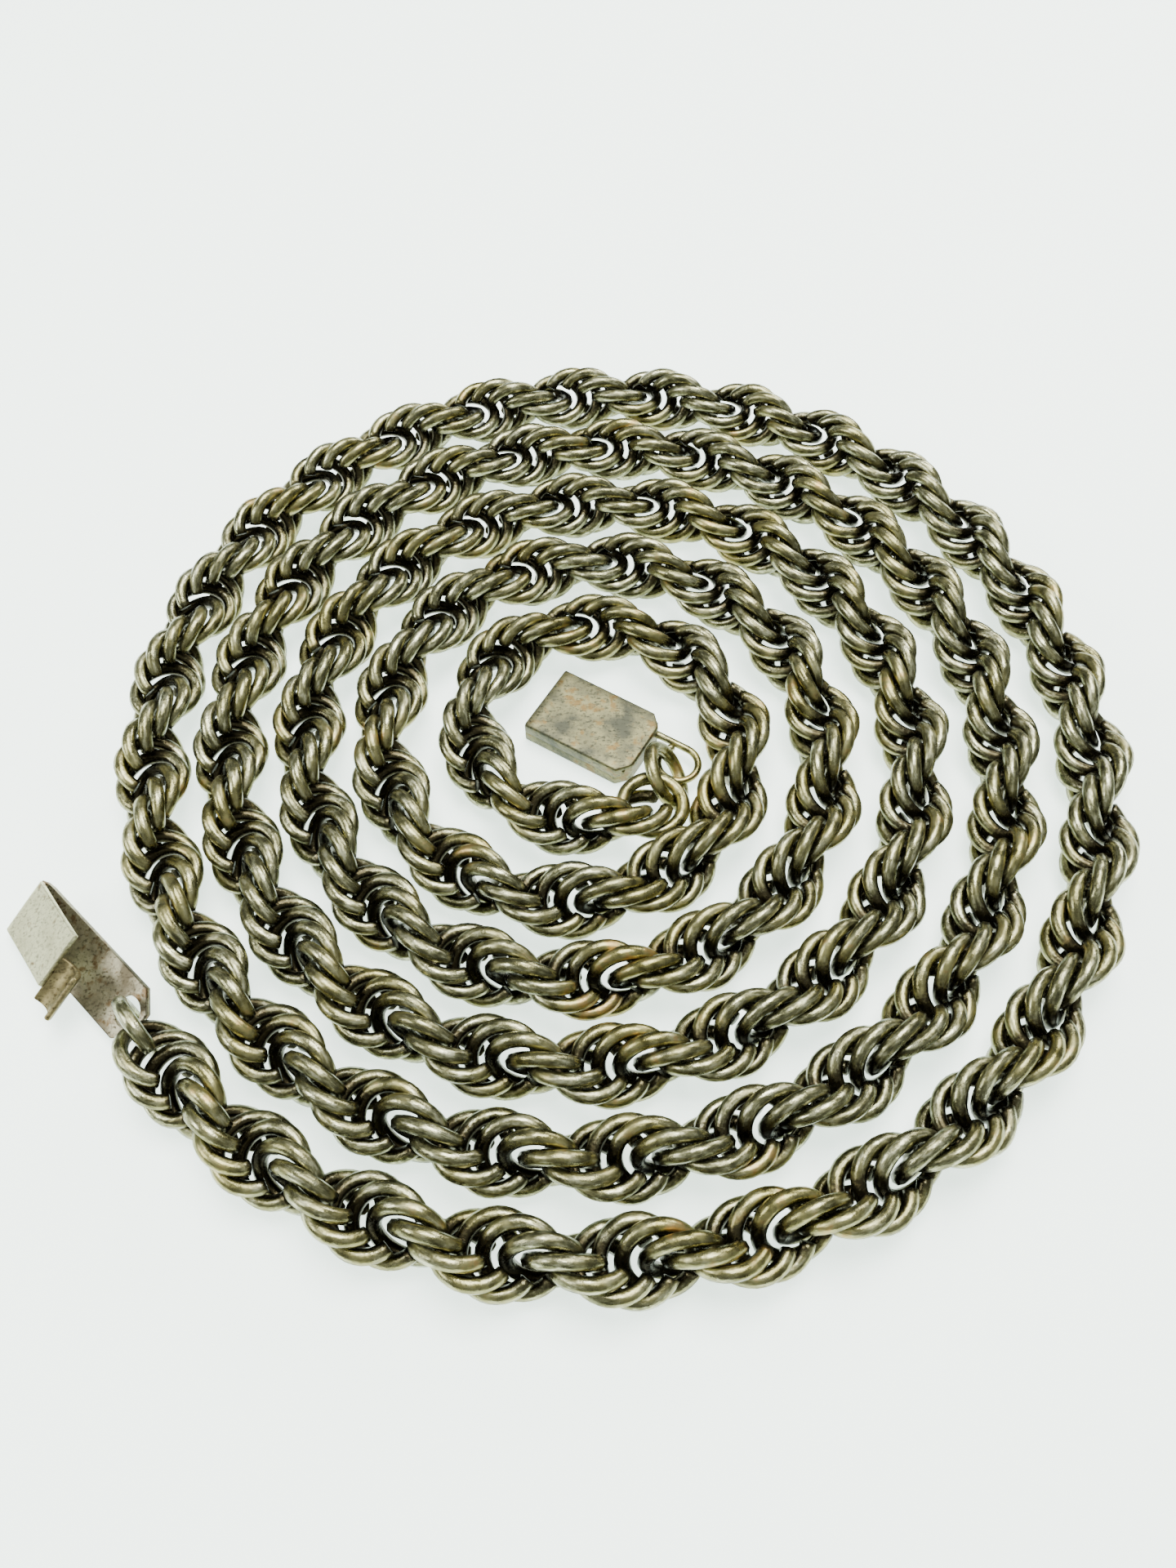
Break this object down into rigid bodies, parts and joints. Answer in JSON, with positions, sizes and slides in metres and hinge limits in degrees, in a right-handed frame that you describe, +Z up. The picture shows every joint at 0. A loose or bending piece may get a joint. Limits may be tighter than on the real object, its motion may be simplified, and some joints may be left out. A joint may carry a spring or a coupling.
{
  "type": "chain necklace",
  "caption": "Long rope chain necklace of round-wire rings laid in a flat coil, with a box clasp whose folded spring tongue lies open.",
  "frame": {"origin": "middle of the flat coil, on the plane it lies on", "axes": "+Z up; +X to the right and +Y away from the open tongue end's side, with the clasp tongue at the low X, low Y side"},
  "size_m": [0.0852, 0.0836, 0.0058],
  "materials": {
    "rope_wire": "worn olive-grey silver with a dark patina between the rings",
    "eye_wire": "worn olive-grey silver wire",
    "clasp_sheet": "pale worn silver sheet with brown stains",
    "thumb_brass": "dull brassy silver"
  },
  "bodies": {
    "rope_01": {"rope_01": "rope_wire"},
    "rope_02": {"rope_02": "rope_wire"},
    "rope_03": {"rope_03": "rope_wire"},
    "rope_04": {"rope_04": "rope_wire"},
    "rope_05": {"rope_05": "rope_wire"},
    "rope_06": {"rope_06": "rope_wire"},
    "rope_07": {"rope_07": "rope_wire"},
    "rope_08": {"rope_08": "rope_wire"},
    "rope_09": {"rope_09": "rope_wire"},
    "rope_10": {"rope_10": "rope_wire"},
    "rope_11": {"rope_11": "rope_wire"},
    "rope_12": {"rope_12": "rope_wire"},
    "rope_13": {"rope_13": "rope_wire"},
    "rope_14": {"rope_14": "rope_wire"},
    "rope_15": {"rope_15": "rope_wire"},
    "rope_16": {"rope_16": "rope_wire"},
    "rope_17": {"rope_17": "rope_wire"},
    "rope_18": {"rope_18": "rope_wire"},
    "rope_19": {"rope_19": "rope_wire"},
    "rope_20": {"rope_20": "rope_wire"},
    "rope_21": {"rope_21": "rope_wire"},
    "rope_22": {"rope_22": "rope_wire"},
    "rope_23": {"rope_23": "rope_wire"},
    "rope_24": {"rope_24": "rope_wire"},
    "rope_25": {"rope_25": "rope_wire"},
    "rope_26": {"rope_26": "rope_wire"},
    "rope_27": {"rope_27": "rope_wire"},
    "rope_28": {"rope_28": "rope_wire"},
    "rope_29": {"rope_29": "rope_wire"},
    "rope_30": {"rope_30": "rope_wire"},
    "rope_31": {"rope_31": "rope_wire"},
    "rope_32": {"rope_32": "rope_wire"},
    "rope_33": {"rope_33": "rope_wire"},
    "rope_34": {"rope_34": "rope_wire"},
    "rope_35": {"rope_35": "rope_wire"},
    "rope_36": {"rope_36": "rope_wire"},
    "rope_37": {"rope_37": "rope_wire"},
    "rope_38": {"rope_38": "rope_wire"},
    "rope_39": {"rope_39": "rope_wire"},
    "rope_40": {"rope_40": "rope_wire"},
    "rope_41": {"rope_41": "rope_wire"},
    "rope_42": {"rope_42": "rope_wire"},
    "rope_43": {"rope_43": "rope_wire"},
    "rope_44": {"rope_44": "rope_wire"},
    "rope_45": {"rope_45": "rope_wire"},
    "rope_46": {"rope_46": "rope_wire"},
    "rope_47": {"rope_47": "rope_wire"},
    "rope_48": {"rope_48": "rope_wire"},
    "rope_49": {"rope_49": "rope_wire"},
    "rope_50": {"rope_50": "rope_wire"},
    "rope_51": {"rope_51": "rope_wire"},
    "rope_52": {"rope_52": "rope_wire"},
    "rope_53": {"rope_53": "rope_wire"},
    "tongue_ring": {"tongue_ring": "rope_wire"},
    "tongue": {"tongue_plate": "clasp_sheet"},
    "leaf": {"spring_leaf": "clasp_sheet", "thumb_piece": "thumb_brass"},
    "end_ring": {"end_ring": "rope_wire"},
    "box": {"box_shell": "clasp_sheet", "box_eye": "eye_wire"}
  },
  "joints": [
    {"name": "bend_27_26", "type": "hinge", "parent": "rope_27", "child": "rope_26", "pos_m": [-0.01716, 0.0251, 0.0029], "axis": [0.6451, -0.7641, 0], "range_deg": [-2.5, 2.5]},
    {"name": "bend_26_25", "type": "hinge", "parent": "rope_26", "child": "rope_25", "pos_m": [-0.00432, 0.03134, 0.0029], "axis": [0.2061, -0.9785, 0], "range_deg": [-2.5, 2.5]},
    {"name": "bend_25_24", "type": "hinge", "parent": "rope_25", "child": "rope_24", "pos_m": [0.01131, 0.03047, 0.0029], "axis": [-0.3197, -0.9475, 0], "range_deg": [-2.5, 2.5]},
    {"name": "bend_24_23", "type": "hinge", "parent": "rope_24", "child": "rope_23", "pos_m": [0.02344, 0.02295, 0.0029], "axis": [-0.7057, -0.7085, 0], "range_deg": [-2.5, 2.5]},
    {"name": "bend_23_22", "type": "hinge", "parent": "rope_23", "child": "rope_22", "pos_m": [0.031, 0.01083, 0.0029], "axis": [-0.9439, -0.3302, 0], "range_deg": [-2.5, 2.5]},
    {"name": "bend_22_21", "type": "hinge", "parent": "rope_22", "child": "rope_21", "pos_m": [0.03243, -0.0048, 0.0029], "axis": [-0.9896, 0.1441, 0], "range_deg": [-2.5, 2.5]},
    {"name": "bend_21_20", "type": "hinge", "parent": "rope_21", "child": "rope_20", "pos_m": [0.02733, -0.01815, 0.0029], "axis": [-0.8313, 0.5558, 0], "range_deg": [-2.5, 2.5]},
    {"name": "bend_20_19", "type": "hinge", "parent": "rope_20", "child": "rope_19", "pos_m": [0.01581, -0.02881, 0.0029], "axis": [-0.4849, 0.8746, 0], "range_deg": [-2.5, 2.5]},
    {"name": "bend_19_18", "type": "hinge", "parent": "rope_19", "child": "rope_18", "pos_m": [0.00209, -0.0328, 0.0029], "axis": [-0.0579, 0.9983, 0], "range_deg": [-2.5, 2.5]},
    {"name": "bend_18_17", "type": "hinge", "parent": "rope_18", "child": "rope_17", "pos_m": [-0.01202, -0.03057, 0.0029], "axis": [0.3615, 0.9324, 0], "range_deg": [-2.5, 2.5]},
    {"name": "bend_17_16", "type": "hinge", "parent": "rope_17", "child": "rope_16", "pos_m": [-0.02491, -0.0216, 0.0029], "axis": [0.7399, 0.6727, 0], "range_deg": [-2.5, 2.5]},
    {"name": "bend_16_15", "type": "hinge", "parent": "rope_16", "child": "rope_15", "pos_m": [-0.03211, -0.00924, 0.0029], "axis": [0.9467, 0.3223, 0], "range_deg": [-2.5, 2.5]},
    {"name": "bend_15_14", "type": "hinge", "parent": "rope_15", "child": "rope_14", "pos_m": [-0.03381, 0.00639, 0.0029], "axis": [0.9932, -0.1166, 0], "range_deg": [-2.5, 2.5]},
    {"name": "bend_14_13", "type": "hinge", "parent": "rope_14", "child": "rope_13", "pos_m": [-0.02953, 0.02005, 0.0029], "axis": [0.8804, -0.4743, 0], "range_deg": [-2.5, 2.5]},
    {"name": "bend_13_12", "type": "hinge", "parent": "rope_13", "child": "rope_12", "pos_m": [-0.01922, 0.03192, 0.0029], "axis": [0.5926, -0.8055, 0], "range_deg": [-2.5, 2.5]},
    {"name": "bend_12_11", "type": "hinge", "parent": "rope_12", "child": "rope_11", "pos_m": [-0.00627, 0.03801, 0.0029], "axis": [0.2344, -0.9721, 0], "range_deg": [-2.5, 2.5]},
    {"name": "bend_11_10", "type": "hinge", "parent": "rope_11", "child": "rope_10", "pos_m": [0.00803, 0.0386, 0.0029], "axis": [-0.1538, -0.9881, 0], "range_deg": [-2.5, 2.5]},
    {"name": "bend_10_09", "type": "hinge", "parent": "rope_10", "child": "rope_09", "pos_m": [0.02267, 0.03286, 0.0029], "axis": [-0.5474, -0.8369, 0], "range_deg": [-2.5, 2.5]},
    {"name": "bend_09_08", "type": "hinge", "parent": "rope_09", "child": "rope_08", "pos_m": [0.03285, 0.02279, 0.0029], "axis": [-0.8213, -0.5704, 0], "range_deg": [-2.5, 2.5]},
    {"name": "bend_08_07", "type": "hinge", "parent": "rope_08", "child": "rope_07", "pos_m": [0.03896, 0.00829, 0.0029], "axis": [-0.9814, -0.1918, 0], "range_deg": [-2.5, 2.5]},
    {"name": "bend_07_06", "type": "hinge", "parent": "rope_07", "child": "rope_06", "pos_m": [0.03918, -0.00603, 0.0029], "axis": [-0.9866, 0.1629, 0], "range_deg": [-2.5, 2.5]},
    {"name": "bend_06_05", "type": "hinge", "parent": "rope_06", "child": "rope_05", "pos_m": [0.03431, -0.01951, 0.0029], "axis": [-0.863, 0.5053, 0], "range_deg": [-2.5, 2.5]},
    {"name": "bend_05_04", "type": "hinge", "parent": "rope_05", "child": "rope_04", "pos_m": [0.02385, -0.03126, 0.0029], "axis": [-0.6012, 0.7991, 0], "range_deg": [-2.5, 2.5]},
    {"name": "bend_04_03", "type": "hinge", "parent": "rope_04", "child": "rope_03", "pos_m": [0.01099, -0.03758, 0.0029], "axis": [-0.2639, 0.9645, 0], "range_deg": [-2.5, 2.5]},
    {"name": "bend_03_02", "type": "hinge", "parent": "rope_03", "child": "rope_02", "pos_m": [-0.0047, -0.03868, 0.0029], "axis": [0.125, 0.9922, 0], "range_deg": [-2.5, 2.5]},
    {"name": "bend_02_01", "type": "hinge", "parent": "rope_02", "child": "rope_01", "pos_m": [-0.01833, -0.03424, 0.0029], "axis": [0.4736, 0.8808, 0], "range_deg": [-2.5, 2.5]},
    {"name": "tongue_ring_swing", "type": "hinge", "parent": "rope_01", "child": "tongue_ring", "pos_m": [-0.02951, -0.02532, 0.0029], "axis": [0.7622, 0.6474, 0], "range_deg": [-2, 2]},
    {"name": "tongue_swing", "type": "hinge", "parent": "tongue_ring", "child": "tongue", "pos_m": [-0.03189, -0.02251, 0.00186], "axis": [0.7622, 0.6474, 0], "range_deg": [-2, 4]},
    {"name": "leaf_flex", "type": "hinge", "parent": "tongue", "child": "leaf", "pos_m": [-0.04078, -0.01451, 0.00158], "axis": [-0.5886, -0.6694, -0.4532], "range_deg": [-6, 2], "stiffness_Nm_per_rad": 0.02},
    {"name": "bend_27_28", "type": "hinge", "parent": "rope_27", "child": "rope_28", "pos_m": [-0.02617, 0.01229, 0.0029], "axis": [0.9392, -0.3434, 0], "range_deg": [-2.5, 2.5]},
    {"name": "bend_28_29", "type": "hinge", "parent": "rope_28", "child": "rope_29", "pos_m": [-0.02774, -0.00189, 0.0029], "axis": [0.9918, 0.1282, 0], "range_deg": [-2.5, 2.5]},
    {"name": "bend_29_30", "type": "hinge", "parent": "rope_29", "child": "rope_30", "pos_m": [-0.02166, -0.01631, 0.0029], "axis": [0.7778, 0.6285, 0], "range_deg": [-2.5, 2.5]},
    {"name": "bend_30_31", "type": "hinge", "parent": "rope_30", "child": "rope_31", "pos_m": [-0.01024, -0.02482, 0.0029], "axis": [0.3673, 0.9301, 0], "range_deg": [-2.5, 2.5]},
    {"name": "bend_31_32", "type": "hinge", "parent": "rope_31", "child": "rope_32", "pos_m": [0.00391, -0.02635, 0.0029], "axis": [-0.1696, 0.9855, 0], "range_deg": [-2.5, 2.5]},
    {"name": "bend_32_33", "type": "hinge", "parent": "rope_32", "child": "rope_33", "pos_m": [0.01784, -0.01932, 0.0029], "axis": [-0.6998, 0.7143, 0], "range_deg": [-2.5, 2.5]},
    {"name": "bend_33_34", "type": "hinge", "parent": "rope_33", "child": "rope_34", "pos_m": [0.02501, -0.00704, 0.0029], "axis": [-0.9675, 0.2527, 0], "range_deg": [-2.5, 2.5]},
    {"name": "bend_34_35", "type": "hinge", "parent": "rope_34", "child": "rope_35", "pos_m": [0.02431, 0.00855, 0.0029], "axis": [-0.9409, -0.3387, 0], "range_deg": [-2.5, 2.5]},
    {"name": "bend_35_36", "type": "hinge", "parent": "rope_35", "child": "rope_36", "pos_m": [0.01591, 0.02002, 0.0029], "axis": [-0.6052, -0.796, 0], "range_deg": [-2.5, 2.5]},
    {"name": "bend_36_37", "type": "hinge", "parent": "rope_36", "child": "rope_37", "pos_m": [0.0026, 0.02491, 0.0029], "axis": [-0.0495, -0.9988, 0], "range_deg": [-2.5, 2.5]},
    {"name": "bend_37_38", "type": "hinge", "parent": "rope_37", "child": "rope_38", "pos_m": [-0.0123, 0.02048, 0.0029], "axis": [0.5894, -0.8078, 0], "range_deg": [-2.5, 2.5]},
    {"name": "bend_38_39", "type": "hinge", "parent": "rope_38", "child": "rope_39", "pos_m": [-0.02072, 0.00906, 0.0029], "axis": [0.9461, -0.324, 0], "range_deg": [-2.5, 2.5]},
    {"name": "bend_39_40", "type": "hinge", "parent": "rope_39", "child": "rope_40", "pos_m": [-0.02054, -0.00648, 0.0029], "axis": [0.9379, 0.347, 0], "range_deg": [-2.5, 2.5]},
    {"name": "bend_40_41", "type": "hinge", "parent": "rope_40", "child": "rope_41", "pos_m": [-0.01162, -0.01746, 0.0029], "axis": [0.5281, 0.8492, 0], "range_deg": [-2.5, 2.5]},
    {"name": "bend_41_42", "type": "hinge", "parent": "rope_41", "child": "rope_42", "pos_m": [0.00361, -0.02005, 0.0029], "axis": [-0.2217, 0.9751, 0], "range_deg": [-2.5, 2.5]},
    {"name": "bend_42_43", "type": "hinge", "parent": "rope_42", "child": "rope_43", "pos_m": [0.01531, -0.01221, 0.0029], "axis": [-0.8168, 0.5769, 0], "range_deg": [-2.5, 2.5]},
    {"name": "bend_43_44", "type": "hinge", "parent": "rope_43", "child": "rope_44", "pos_m": [0.01882, 0.00144, 0.0029], "axis": [-0.9932, -0.1164, 0], "range_deg": [-2.5, 2.5]},
    {"name": "bend_44_45", "type": "hinge", "parent": "rope_44", "child": "rope_45", "pos_m": [0.01102, 0.01469, 0.0029], "axis": [-0.5743, -0.8186, 0], "range_deg": [-2.5, 2.5]},
    {"name": "bend_45_46", "type": "hinge", "parent": "rope_45", "child": "rope_46", "pos_m": [-0.00269, 0.01749, 0.0029], "axis": [0.2156, -0.9765, 0], "range_deg": [-2.5, 2.5]},
    {"name": "bend_46_47", "type": "hinge", "parent": "rope_46", "child": "rope_47", "pos_m": [-0.01451, 0.00782, 0.0029], "axis": [0.9147, -0.404, 0], "range_deg": [-2.5, 2.5]},
    {"name": "bend_47_48", "type": "hinge", "parent": "rope_47", "child": "rope_48", "pos_m": [-0.01426, -0.00613, 0.0029], "axis": [0.8957, 0.4446, 0], "range_deg": [-2.5, 2.5]},
    {"name": "bend_48_49", "type": "hinge", "parent": "rope_48", "child": "rope_49", "pos_m": [-0.00309, -0.01429, 0.0029], "axis": [0.1307, 0.9914, 0], "range_deg": [-2.5, 2.5]},
    {"name": "bend_49_50", "type": "hinge", "parent": "rope_49", "child": "rope_50", "pos_m": [0.01032, -0.0077, 0.0029], "axis": [-0.8676, 0.4972, 0], "range_deg": [-2.5, 2.5]},
    {"name": "bend_50_51", "type": "hinge", "parent": "rope_50", "child": "rope_51", "pos_m": [0.00978, 0.00594, 0.0029], "axis": [-0.8165, -0.5773, 0], "range_deg": [-2.5, 1.5]},
    {"name": "bend_51_52", "type": "hinge", "parent": "rope_51", "child": "rope_52", "pos_m": [-0.00424, 0.00967, 0.0029], "axis": [0.4849, -0.8746, 0], "range_deg": [-2.5, 1.5]},
    {"name": "bend_52_53", "type": "hinge", "parent": "rope_52", "child": "rope_53", "pos_m": [-0.00794, -0.00279, 0.0029], "axis": [0.8834, 0.4685, 0], "range_deg": [-2.5, 1.5]},
    {"name": "end_ring_swing", "type": "hinge", "parent": "rope_53", "child": "end_ring", "pos_m": [0.00569, -0.00492, 0.0027], "axis": [-0.9423, 0.3349, 0], "range_deg": [-2, 2]},
    {"name": "box_swivel", "type": "hinge", "parent": "end_ring", "child": "box", "pos_m": [0.00733, -0.00166, 0.0013], "axis": [0, 0, 1], "range_deg": [-3, 3]}
  ]
}
